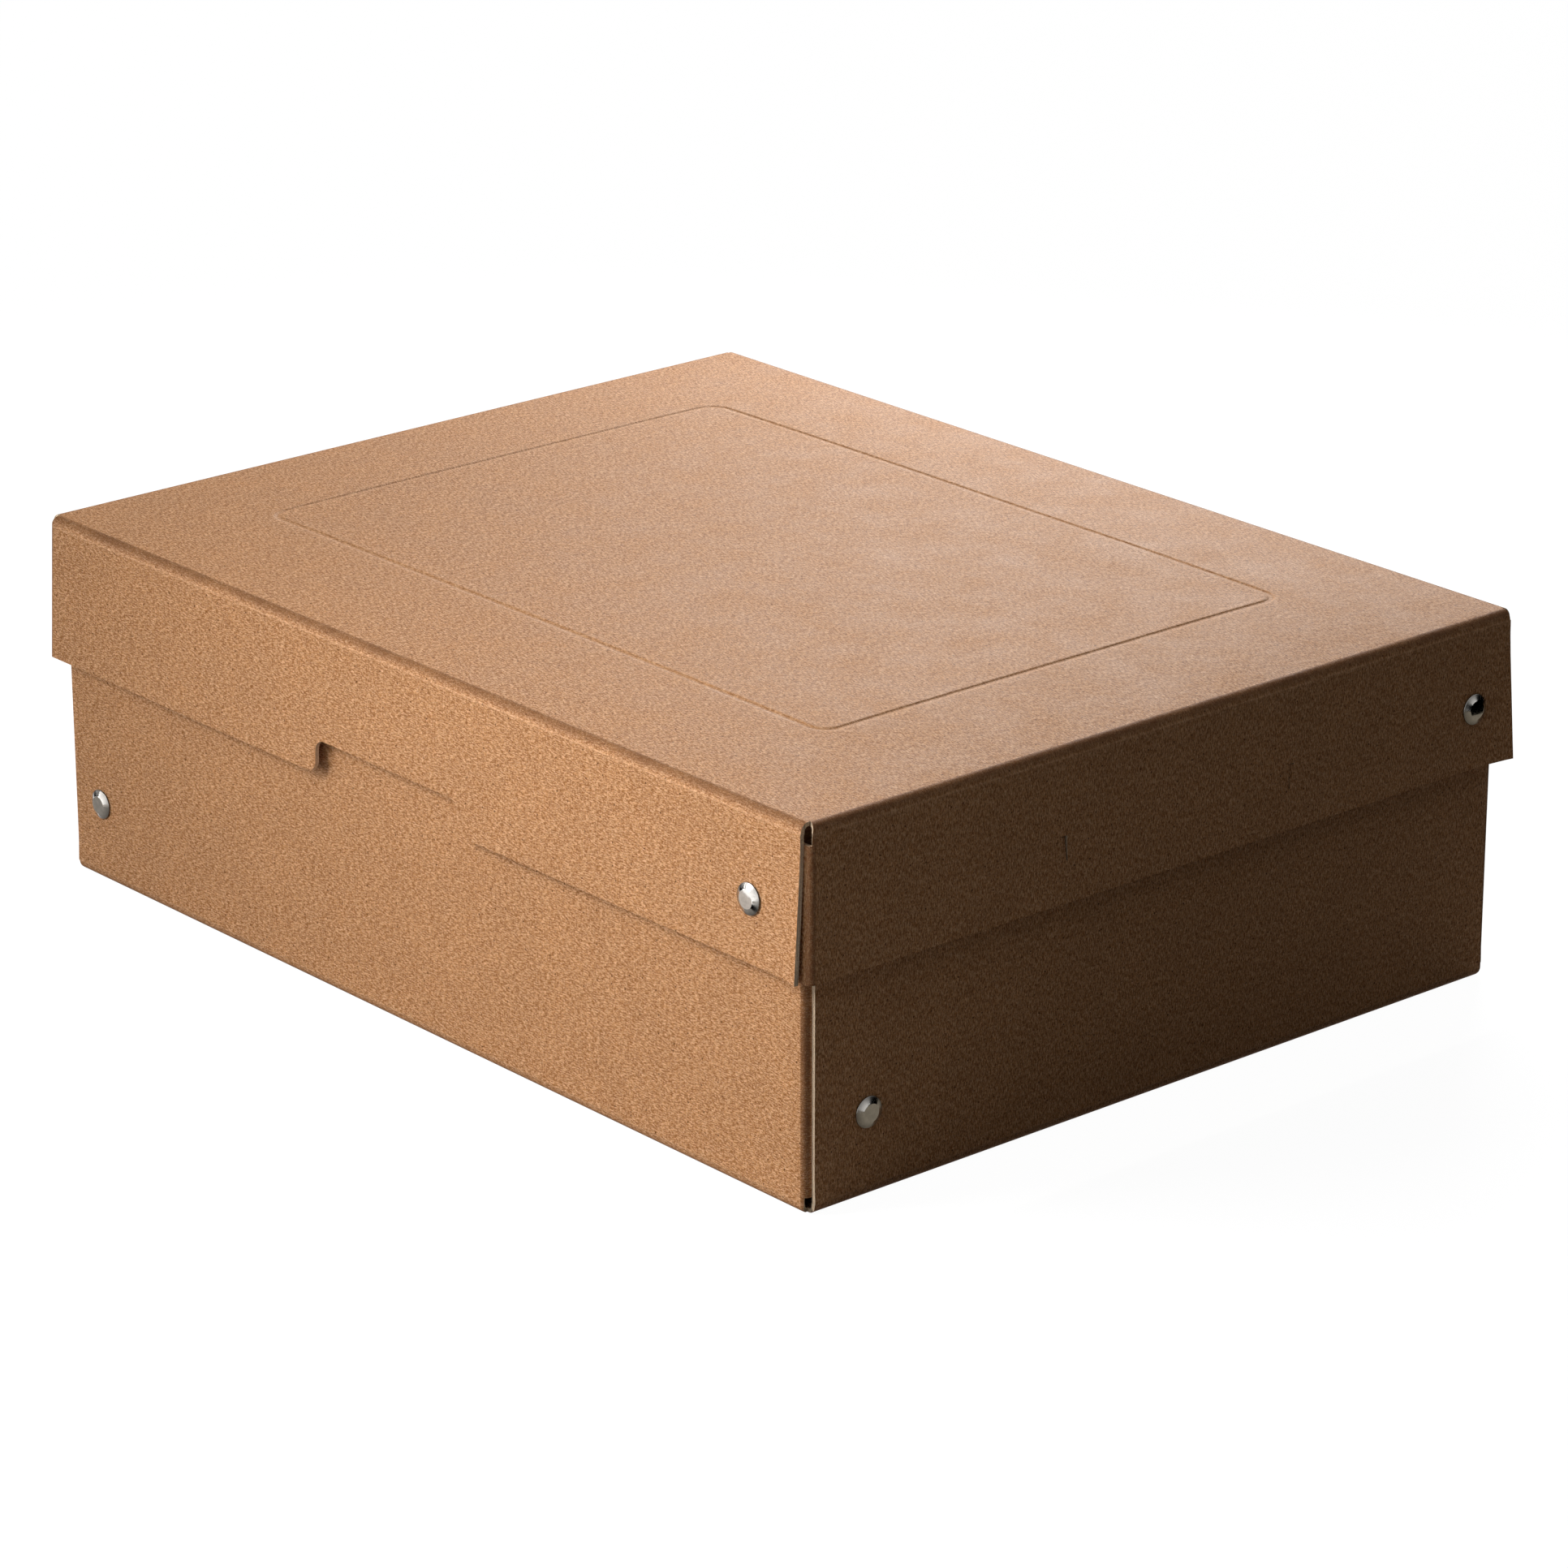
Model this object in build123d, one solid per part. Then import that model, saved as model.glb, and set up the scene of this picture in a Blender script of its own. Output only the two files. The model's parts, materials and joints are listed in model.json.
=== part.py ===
from build123d import *
import os
from math import cos, radians, sin, sqrt, tan

# Lidded document box of kraft board: a base tray and a lid tray, each folded from one blank.
# Frame: +Z up, origin on the table under the middle of the base, +X towards the end with the
# label slits, -Y towards the front long side. All sizes are in millimetres.

# Board and its folds
board = 1.2
fold_inside_radius = 1.4
bend_inside_radius = 0.8
raw_edge_gap = 0.3

# Base tray, outside
base_length = 330.0
base_width = 254.0
base_height = 107.8
base_splay = 0.0
base_relief = 4.8

# Lid tray, outside
lid_play = 0.4
lid_rest_gap = 0.2
skirt_depth = 43.0
skirt_splay = 1.75
lid_relief = 5.8

# Corner tabs
tab_past_rivet = 12.0
tab_chamfer = 6.0

# Rivets, with their places measured from the outer corner and from the fold
cap_diameter = 8.8
cap_flat_diameter = 5.2
cap_height = 1.5
cap_rim_height = 0.5
cap_skin = 0.4
post_diameter = 3.2
post_wall = 0.5
hole_clearance = 0.1
backing_diameter = 8.0
backing_thickness = 0.7
base_rivet_from_floor = 24.0
base_rivet_inset_long = 15.0
base_rivet_inset_short = 20.5
lid_rivet_from_top = 25.5
lid_rivet_inset_long = 21.5
lid_rivet_inset_short = 16.4

# Finger notches in the lid's long skirts
notch_width = 63.5
notch_depth = 10.0
notch_radius = 3.5
notch_offset = 6.0

# Label slits in the lid's end skirt
slit_spacing = 82.0
slit_from_top = 24.2
slit_length = 7.0
slit_arm = 2.1
slit_width = 0.4

# Creased rectangle on the lid's top
crease_length = 243.0
crease_width = 168.0
crease_radius = 6.0
crease_groove = 1.6
crease_depth = 0.3

# Worked out from the sizes above
fold_outside_radius = fold_inside_radius + board
bend_outside_radius = bend_inside_radius + board
lid_overhang = 2 * board + lid_play
lid_length = base_length + 2 * lid_overhang
lid_width = base_width + 2 * lid_overhang
lid_top = base_height + lid_rest_gap + board


def slope(splay):
    """How far a wall leans outwards for each millimetre of height."""
    return tan(radians(splay))


def fold_centre(depth, splay):
    """Distance of a fold's centre line from the middle of the tray."""
    lean = radians(splay)
    return depth - fold_outside_radius * (1 - sin(lean)) / cos(lean)


def wall_section(depth, height, splay):
    """Section across a wall, from the floor through the fold to the rim: outwards, then up."""
    lean = radians(splay)
    middle = fold_centre(depth, splay)

    def rim_point(radius):
        return middle + (radius + (height - fold_outside_radius) * sin(lean)) / cos(lean), height

    outside = CenterArc((middle, fold_outside_radius), fold_outside_radius, -90, 90 - splay)
    inside = CenterArc((middle, fold_outside_radius), fold_inside_radius, -90, 90 - splay)
    rim = Line(rim_point(fold_outside_radius), rim_point(fold_inside_radius))
    outer_face = Line(outside @ 1, rim @ 0)
    inner_face = Line(rim @ 1, inside @ 1)
    floor_end = Line(inside @ 0, outside @ 0)
    return make_face([outside, outer_face, rim, inner_face, inside, floor_end])


def bend_section(run, depth, splay, tab_reach):
    """Plan of a wall's corner bend and of the tab that lies behind the next wall."""
    plan_board = board / cos(radians(splay))
    across = run - plan_board - bend_outside_radius
    along = bend_outside_radius - depth
    outside = CenterArc((across, along), bend_outside_radius, -90, 90)
    inside = CenterArc((across, along), bend_outside_radius - plan_board, -90, 90)
    tab_end = Line((run - plan_board, tab_reach - depth), (run - 2 * plan_board, tab_reach - depth))
    outer_face = Line(outside @ 1, tab_end @ 0)
    inner_face = Line(tab_end @ 1, inside @ 1)
    wall_end = Line(inside @ 0, outside @ 0)
    return make_face([outside, outer_face, tab_end, inner_face, inside, wall_end])


def notch_outline(height):
    """The finger notch as it is seen on a wall, with its four corners rounded."""
    left = notch_offset - notch_width / 2
    right = notch_offset + notch_width / 2
    ledge = height - notch_depth
    notch = FilletPolyline(
        (left - 2 * notch_radius, height),
        (left, height),
        (left, ledge),
        (right, ledge),
        (right, height),
        (right + 2 * notch_radius, height),
        radius=notch_radius,
    )
    return make_face([*notch.edges(), Line(notch @ 1, notch @ 0)])


def slit_outline():
    """One label slit as it is seen on a wall: a leg with a short arm that points away from the other slit."""
    leg = Pos(slit_spacing / 2, slit_from_top + slit_length / 2) * Rectangle(slit_width, slit_length)
    arm_middle = slit_spacing / 2 + (slit_arm - slit_width) / 2
    arm = Pos(arm_middle, slit_from_top + slit_width / 2) * Rectangle(slit_arm, slit_width)
    return leg + arm


def wall(run, depth, height, splay, relief, tab_reach, cuts):
    """One wall, seen with its outside towards -Y: its fold, its corner bend and its tab.

    Its left end is a raw edge. Its right end bends round the corner, and the tab lies behind the
    next wall. run is half the tray's size along the wall, and depth is half its size across it.
    """
    lean = slope(splay)
    plan_board = board / cos(radians(splay))
    raw_end = bend_outside_radius + raw_edge_gap - run
    bend_start = run - plan_board - bend_outside_radius
    leaning = (bend_start + height * lean, height), (raw_end - height * lean, height)
    seen = make_face(Polyline((raw_end, 0), (bend_start, 0), *leaning, close=True))
    for cut in cuts:
        seen -= cut
    section = Plane((0, 0, 0), x_dir=(0, -1, 0), z_dir=(-1, 0, 0)) * wall_section(depth, height, splay)
    panel = extrude(section, run + height, both=True) & extrude(Plane.XZ * seen, 2 * depth)

    rise = height - relief
    plan = Pos(relief * lean, -relief * lean, relief) * bend_section(run, depth, splay, tab_reach)
    bend = extrude(plan, rise * sqrt(1 + 2 * lean**2), dir=(lean, -lean, 1))
    tab_end = tab_reach - depth - height * lean
    tab_side = Polyline(
        (-2 * depth, relief),
        (tab_end - tab_chamfer, relief),
        (tab_end, relief + tab_chamfer),
        (tab_end, height - tab_chamfer),
        (tab_end - tab_chamfer, height),
        (-2 * depth, height),
        close=True,
    )
    bend &= extrude(Plane.YZ * make_face(tab_side), 2 * run)
    return panel + bend


def rivet_plane(run, depth, splay, inset, from_floor):
    """Where a rivet's cap sits on the outside of a wall, with its axis pointing out of the wall."""
    lean = radians(splay)
    place = (inset - run, -depth - from_floor * slope(splay), from_floor)
    return Plane(place, x_dir=(1, 0, 0), z_dir=(0, -cos(lean), -sin(lean)))


def folded_tray(length, width, height, splay, relief, insets, from_floor, cuts):
    """A tray folded from one blank, standing on its floor, and the planes of its four rivets.

    insets holds the rivets' distances from the corner on the long and on the short walls, and
    cuts holds what is cut out of the front, right, back and left wall.
    """
    tab_reach = max(insets) + tab_past_rivet
    floor_size = 2 * fold_centre(length / 2, splay), 2 * fold_centre(width / 2, splay)
    tray = extrude(Rectangle(*floor_size), board)
    planes = []
    for turn in range(4):
        run, depth = (length / 2, width / 2) if turn % 2 == 0 else (width / 2, length / 2)
        side = wall(run, depth, height, splay, relief, tab_reach, cuts[turn])
        tray += Rot(0, 0, 90 * turn) * side
        seat = rivet_plane(run, depth, splay, insets[turn % 2], from_floor)
        planes.append(Rot(0, 0, 90 * turn) * seat.location)
    for place in planes:
        tray -= place * post_hole(-3 * board, board)
    return tray, planes


def crease_ring():
    """The groove of the creased rectangle, as a flat ring."""
    def loop(grown):
        size = crease_length + grown, crease_width + grown
        return RectangleRounded(*size, crease_radius + grown / 2)

    return loop(crease_groove) - loop(-crease_groove)


def post_hole(low, high):
    """The round space for a rivet's post between two heights on its axis."""
    return Pos(0, 0, (low + high) / 2) * Cylinder(post_diameter / 2 + hole_clearance, high - low)


def rivet_cap():
    """Cap with a flat middle and a bevelled ring. Its axis is Z, and the outside of the wall is at 0."""
    rim = cap_diameter / 2
    outline = Polyline(
        (0, 0), (rim, 0), (rim, cap_rim_height), (cap_flat_diameter / 2, cap_height), (0, cap_height), close=True
    )
    return revolve(Plane.XZ * make_face(outline), Axis.Z) - post_hole(0, cap_height - cap_skin)


def rivet_backing():
    """Flat cap on the inside of the tab, over the end of the post."""
    return Pos(0, 0, -2 * board - backing_thickness / 2) * Cylinder(backing_diameter / 2, backing_thickness)


def rivet_post():
    """Hollow post through both boards, seated in the cap at one end and standing on the backing."""
    top = cap_height - cap_skin
    end = -2 * board
    tube = Cylinder(post_diameter / 2, top - end) - Cylinder(post_diameter / 2 - post_wall, top - end)
    return Pos(0, 0, (top + end) / 2) * tube


def corner_name(place):
    """The corner that a rivet is nearest to, as seen from the front."""
    return ("front" if place.position.Y < 0 else "back") + ("_left" if place.position.X < 0 else "_right")


def base_parts():
    """The base tray and its four rivets, in place."""
    insets = base_rivet_inset_long, base_rivet_inset_short
    no_cuts = [[], [], [], []]
    tray, places = folded_tray(
        base_length, base_width, base_height, base_splay, base_relief, insets, base_rivet_from_floor, no_cuts
    )
    return tray, places


def lid_parts():
    """The lid tray and its four rivets, in place: a folded tray turned over onto the base."""
    insets = lid_rivet_inset_long, lid_rivet_inset_short
    notch = [notch_outline(skirt_depth)]
    slits = [slit_outline(), mirror(slit_outline(), Plane.YZ)]
    tray, places = folded_tray(
        lid_length, lid_width, skirt_depth, skirt_splay, lid_relief, insets, lid_rivet_from_top,
        [notch, slits, notch, []],
    )
    tray -= extrude(crease_ring(), crease_depth)
    turned = Pos(0, 0, lid_top) * Rot(180, 0, 0)
    return turned * tray, [turned * place for place in places]


nodes = {}
for tray_name, (tray, places) in {"base": base_parts(), "lid": lid_parts()}.items():
    nodes[tray_name + "_tray"] = tray
    for place in places:
        corner = corner_name(place)
        nodes[f"{tray_name}_rivet_cap_{corner}"] = place * rivet_cap()
        nodes[f"{tray_name}_rivet_post_{corner}"] = place * rivet_post()
        nodes[f"{tray_name}_rivet_backing_{corner}"] = place * rivet_backing()

os.makedirs("parts", exist_ok=True)
for name, shape in nodes.items():
    export_step(shape, f"parts/{name}.step")
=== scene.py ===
import json
from math import cos, exp, pi, radians, sin

import bmesh
import bpy
from bpy.props import FloatProperty, FloatVectorProperty, IntProperty, PointerProperty
from mathutils import Matrix, Vector, noise
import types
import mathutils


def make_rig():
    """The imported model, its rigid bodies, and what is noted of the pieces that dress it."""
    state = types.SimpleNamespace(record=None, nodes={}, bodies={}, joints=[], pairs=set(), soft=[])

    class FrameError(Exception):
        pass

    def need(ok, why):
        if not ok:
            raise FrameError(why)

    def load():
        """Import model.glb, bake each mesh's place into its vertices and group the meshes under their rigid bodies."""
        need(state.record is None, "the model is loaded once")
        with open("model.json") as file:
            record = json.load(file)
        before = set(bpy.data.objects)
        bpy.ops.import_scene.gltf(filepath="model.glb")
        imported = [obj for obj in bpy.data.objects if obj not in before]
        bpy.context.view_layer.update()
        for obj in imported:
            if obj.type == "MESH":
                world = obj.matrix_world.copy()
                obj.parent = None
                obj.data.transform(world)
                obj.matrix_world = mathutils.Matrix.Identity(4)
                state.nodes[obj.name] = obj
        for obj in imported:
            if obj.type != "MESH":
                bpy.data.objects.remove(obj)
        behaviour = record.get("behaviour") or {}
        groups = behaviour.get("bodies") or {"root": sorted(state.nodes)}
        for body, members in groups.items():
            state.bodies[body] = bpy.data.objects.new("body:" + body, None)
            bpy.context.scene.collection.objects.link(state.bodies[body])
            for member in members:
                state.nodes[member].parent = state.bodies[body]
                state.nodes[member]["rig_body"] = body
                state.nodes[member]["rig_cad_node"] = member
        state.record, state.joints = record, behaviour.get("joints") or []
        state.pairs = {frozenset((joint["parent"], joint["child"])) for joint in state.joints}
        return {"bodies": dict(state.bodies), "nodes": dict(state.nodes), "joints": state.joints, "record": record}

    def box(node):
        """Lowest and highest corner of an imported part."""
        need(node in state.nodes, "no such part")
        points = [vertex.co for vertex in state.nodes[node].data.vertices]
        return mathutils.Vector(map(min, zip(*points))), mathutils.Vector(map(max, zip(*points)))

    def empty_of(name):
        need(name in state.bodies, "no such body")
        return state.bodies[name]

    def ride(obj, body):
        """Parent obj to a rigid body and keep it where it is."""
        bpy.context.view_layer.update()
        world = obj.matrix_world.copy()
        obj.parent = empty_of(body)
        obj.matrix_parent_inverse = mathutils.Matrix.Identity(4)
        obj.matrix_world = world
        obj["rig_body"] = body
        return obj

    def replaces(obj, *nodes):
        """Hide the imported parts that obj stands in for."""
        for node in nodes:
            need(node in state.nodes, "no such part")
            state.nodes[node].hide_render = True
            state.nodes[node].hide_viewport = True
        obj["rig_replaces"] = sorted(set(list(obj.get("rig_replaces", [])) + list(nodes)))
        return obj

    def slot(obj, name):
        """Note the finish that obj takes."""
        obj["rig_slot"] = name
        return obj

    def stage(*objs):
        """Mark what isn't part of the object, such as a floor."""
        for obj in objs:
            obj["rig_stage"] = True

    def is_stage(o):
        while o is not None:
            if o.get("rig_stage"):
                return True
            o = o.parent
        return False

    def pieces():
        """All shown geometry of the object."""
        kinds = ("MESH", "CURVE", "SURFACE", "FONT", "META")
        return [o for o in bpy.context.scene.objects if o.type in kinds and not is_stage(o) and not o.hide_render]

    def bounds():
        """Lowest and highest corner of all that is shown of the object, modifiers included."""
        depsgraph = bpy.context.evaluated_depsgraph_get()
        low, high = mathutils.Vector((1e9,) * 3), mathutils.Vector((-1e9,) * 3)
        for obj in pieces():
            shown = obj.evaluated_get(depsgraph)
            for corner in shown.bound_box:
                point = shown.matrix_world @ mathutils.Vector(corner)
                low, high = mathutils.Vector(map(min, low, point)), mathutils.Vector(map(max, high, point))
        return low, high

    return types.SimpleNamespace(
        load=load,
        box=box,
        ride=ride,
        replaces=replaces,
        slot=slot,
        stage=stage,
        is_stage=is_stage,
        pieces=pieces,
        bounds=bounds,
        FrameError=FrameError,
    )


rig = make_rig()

bl_info = {
    "name": "Lidded document box",
    "version": (1, 0, 0),
    "blender": (4, 5, 0),
    "location": "3D View > Sidebar > Document Box",
    "description": "A kraft board box and its lift-off lid, each folded from one blank and riveted",
    "category": "Add Mesh",
}

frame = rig.load()
cad_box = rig.bounds()
base_low, base_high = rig.box("base_tray")
lid_low, lid_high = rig.box("lid_tray")

MM = 0.001
SIZE_FILE = "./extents.json"
BLANK_MAP = "blank"
# Mark of painted shade at the foot of a rivet's pressed rim
RIM_SHADE = "foot"
# Mark of worn liner that also carries a painted highlight below the folds
WEAR_AND_HIGHLIGHT = "rubbed"
# Mark of pressed liner that also carries painted shade along folds and bends
PRESSED_AND_SHADED = "pressed"
CORE_SLOT = 1


def length(name, description, default):
    """A size in metres, whose default is given in millimetres."""
    return FloatProperty(
        name=name, description=description, default=default * MM, min=0, unit="LENGTH", subtype="DISTANCE",
        precision=5,
    )


def angle(name, description, default=0.0):
    """An angle, given in degrees."""
    return FloatProperty(
        name=name, description=description, default=radians(default), unit="ROTATION", subtype="ANGLE"
    )


def colour(name, description, default):
    """A linear colour without transparency."""
    return FloatVectorProperty(
        name=name, description=description, default=default, size=3, min=0, max=1, subtype="COLOR"
    )


def amount(name, description, default, most=1.0, unit="NONE"):
    """A number from nought upwards."""
    return FloatProperty(name=name, description=description, default=default, min=0, max=most, unit=unit)


class BoardSettings(bpy.types.PropertyGroup):
    """The solid kraft board that both blanks are cut from"""

    thickness: length("Thickness", "Thickness of the board", 1.2)
    fold_radius: length("Fold radius", "Inside radius of the folds round the floor", 1.4)
    bend_radius: length("Bend radius", "Inside radius of the upright corner bends", 0.8)
    edge_gap: length("Edge gap", "Space between a corner bend and the raw edge beside it", 0.3)
    tab_past_rivet: length("Tab past rivet", "How far a corner tab runs past its rivet", 12)
    tab_chamfer: length("Tab chamfer", "Cut-off corners of a tab's end", 6)
    slot_inside_bend: length("Slot in bend", "How far a corner hole reaches into the bend", 1.3)
    cut_edge: length("Cut edge", "Rounding that the cutting die leaves on an edge", 0.12)
    shoulder: length("Shoulder", "How proud a wall stands beside its folds", 0.26)
    shoulder_rise: length("Shoulder rise", "Length over which a wall rises beside its folds", 0.35)
    shoulder_reach: length("Shoulder reach", "Length over which the rise dies away", 9)
    ripple: length("Ripple", "Height of the board's slow waves", 0.12)
    face: colour("Face", "Kraft liner", (0.545, 0.262, 0.103))
    pale_fibre: colour("Pale fibre", "Palest fibres of the liner", (0.80, 0.49, 0.285))
    dark_fibre: colour("Dark fibre", "Darkest fibres of the liner", (0.26, 0.095, 0.026))
    # Pressed liner, darkened further as painted shade along the folds and corner bends
    pressed: colour("Pressed", "Liner that is pressed dark along a fold", (0.22, 0.095, 0.040))
    core: colour("Core", "Pulp that shows at a raw edge", (0.86, 0.67, 0.47))
    roughness: amount("Roughness", "Mean roughness of the liner", 0.62)
    sheen: amount("Sheen", "Strength of the liner's reflections", 0.08)


class BaseSettings(bpy.types.PropertyGroup):
    """The base tray's own sizes"""

    splay: angle("Splay", "Outward lean of the walls")
    rim_gap: length("Rim gap", "How much wider the gap beside a raw edge is at the rim", 0)
    spring: length("Spring", "How far a wall's raw corner stands out at the rim", 0.15)
    relief: length("Relief", "Height of the corner holes above the floor", 4.8)
    inset_long: length("Inset, long walls", "Rivet's distance from the corner on a long wall", 15)
    inset_short: length("Inset, short walls", "Rivet's distance from the corner on a short wall", 20.5)
    rivet_height: length("Rivet height", "Rivet's height above the floor", 24)
    bow: length("Bow", "How far a wall stands out in its middle", 0.3)


class LidSettings(bpy.types.PropertyGroup):
    """The lid tray's own sizes"""

    splay: angle("Splay", "Outward lean of the skirt", 1.75)
    rim_gap: length("Rim gap", "How much wider the gap beside a raw edge is at the rim", 0.7)
    spring: length("Spring", "How far a skirt's raw corner stands out at the rim", 1.6)
    relief: length("Relief", "Height of the corner holes below the top", 5.8)
    inset_long: length("Inset, long walls", "Rivet's distance from the corner on a long wall", 21.5)
    inset_short: length("Inset, short walls", "Rivet's distance from the corner on a short wall", 16.4)
    rivet_height: length("Rivet depth", "Rivet's distance below the top", 25.5)
    bow: length("Bow", "How far a skirt stands out in its middle", 0.3)
    crown: length("Crown", "Rise of the top's middle above its folds", 2.2)
    notch_width: length("Notch width", "Width of a finger notch", 63.5)
    notch_depth: length("Notch depth", "Depth of a finger notch", 10)
    notch_radius: length("Notch radius", "Rounding of a finger notch's corners", 3.5)
    notch_offset: length("Notch offset", "Notch's distance from the middle of its skirt", 6)
    slit_spacing: length("Slit spacing", "Distance between the two label slits", 82)
    slit_from_top: length("Slit from top", "Distance from the top to the label slits", 24.2)
    slit_length: length("Slit length", "Length of a slit's upright leg", 7)
    slit_arm: length("Slit arm", "Length of a slit's short arm", 2.1)
    slit_width: length("Slit width", "Width of a slit's cut", 0.4)
    slit_press: length("Slit press", "How far a slit's flap is pushed in", 0.8)
    crease_length: length("Crease length", "Length of the creased rectangle", 243)
    crease_width: length("Crease width", "Width of the creased rectangle", 168)
    crease_radius: length("Crease radius", "Corner radius of the creased rectangle", 6)
    crease_groove: length("Crease groove", "Width of the pressed line", 1.9)
    crease_depth: length("Crease depth", "Depth of the pressed line", 0.28)
    crease_lip: length("Crease lip", "Height of the swelling beside the pressed line", 0.05)


class RivetSettings(bpy.types.PropertyGroup):
    """The metal pieces on both sides of a corner"""

    cap_diameter: length("Cap diameter", "Diameter of an outside cap", 8.8)
    cap_flat: length("Cap flat", "Diameter of the flat in a cap's middle", 5.2)
    cap_height: length("Cap height", "Height of an outside cap", 1.5)
    cap_rim: length("Cap rim", "Height of an outside cap's rim", 0.5)
    backing_diameter: length("Backing diameter", "Diameter of an inside cap", 8.0)
    backing_thickness: length("Backing thickness", "Thickness of an inside cap", 0.7)
    backing_dimple: length("Backing dimple", "Diameter of the dimple over the post", 3.0)
    cap_dome: length("Cap dome", "How far the flat falls off towards its edge", 0.08)
    cap_tuck: length("Cap tuck", "How far an outside cap's rim curls under", 0.35)
    softness: length("Softness", "Rounding of the pressed edges", 0.28)
    sides: IntProperty(name="Sides", description="Steps round a cap", default=64, min=12, max=128)
    nickel: colour("Nickel", "Nickel plating", (0.68, 0.65, 0.61))
    nickel_roughness: amount("Nickel roughness", "Least roughness of the plating", 0.06)
    steel: colour("Steel", "Bare steel of the posts", (0.48, 0.47, 0.45))
    steel_roughness: amount("Steel roughness", "Least roughness of the bare steel", 0.32)


class StageSettings(bpy.types.PropertyGroup):
    """Camera, lamps and surroundings"""

    azimuth: angle("Azimuth", "Camera's bearing from the front", 49.222)
    elevation: angle("Elevation", "Camera's angle above the table", 20.445)
    camera_place: FloatVectorProperty(
        name="Camera place", description="Where the camera stands", default=(1.2397, -1.0620, 0.6502),
        size=3, unit="LENGTH", subtype="TRANSLATION",
    )
    lens: FloatProperty(name="Lens", description="Focal length", default=139.43, min=1, unit="CAMERA")
    key: amount("Key", "Power of the softbox at the front left", 31, 1000, "POWER")
    front: amount("Front", "Power of the softbox before the front", 1.2, 1000, "POWER")
    edge: amount("Edge", "Power of the narrow softbox that grazes the right end", 0.18, 1000, "POWER")
    back: amount("Back", "Power of the softbox behind the box", 1.75, 1000, "POWER")
    ambient: amount("Ambient", "Strength of the light from all round", 0.21, 10)
    paper: amount("Paper", "Strength of the floor and backdrop that the camera sees", 1.0, 10)


class DocumentBoxSettings(bpy.types.PropertyGroup):
    """All settings of the document box"""

    board: PointerProperty(type=BoardSettings)
    base: PointerProperty(type=BaseSettings)
    lid: PointerProperty(type=LidSettings)
    rivets: PointerProperty(type=RivetSettings)
    stage: PointerProperty(type=StageSettings)


# Folding

# How finely the blank is cut, and the extra lines beside a fold
FOLD_STEPS = 8
BEND_STEPS = 8
GRID = 9 * MM
SHOULDER_LINES = (0.13 * MM, 0.27 * MM, 0.4 * MM, 0.8 * MM, 1.6 * MM, 3 * MM, 5 * MM)

# Length of the board's waves, and the lengths over which they die away at a wall's ends, above its fold
# and at the floor's edge
WAVE = 55 * MM
CALM = 8 * MM
SWELL_RISE = 20 * MM
FLOOR_FADE = 3 * MM

# Round each rivet: how far it holds its wall down, and its hole
RIVET_REACH = 4 * MM
HOLE_RADIUS = 1.7 * MM
HOLE_STEPS = 16

# A notch's points in its wall's outline, and the lines along a crease in shares of half its groove
NOTCH_CORNERS = slice(8, 12)
NOTCH_STEPS = 7
CREASE_LINES = (0.6, 0.8, 1, 1.2, 1.6, 2.2)
CREASE_STEP = 0.5 * MM

# The lid's walls with a finger notch and with the label slits
NOTCH_WALLS = (0, 2)
SLIT_WALL = 1

# Points closer than this are one point
SAME_PLACE = 1e-7


def smooth(value):
    """Nought to one, with a level start and end."""
    value = min(max(value, 0), 1)
    return value * value * (3 - 2 * value)


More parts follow.
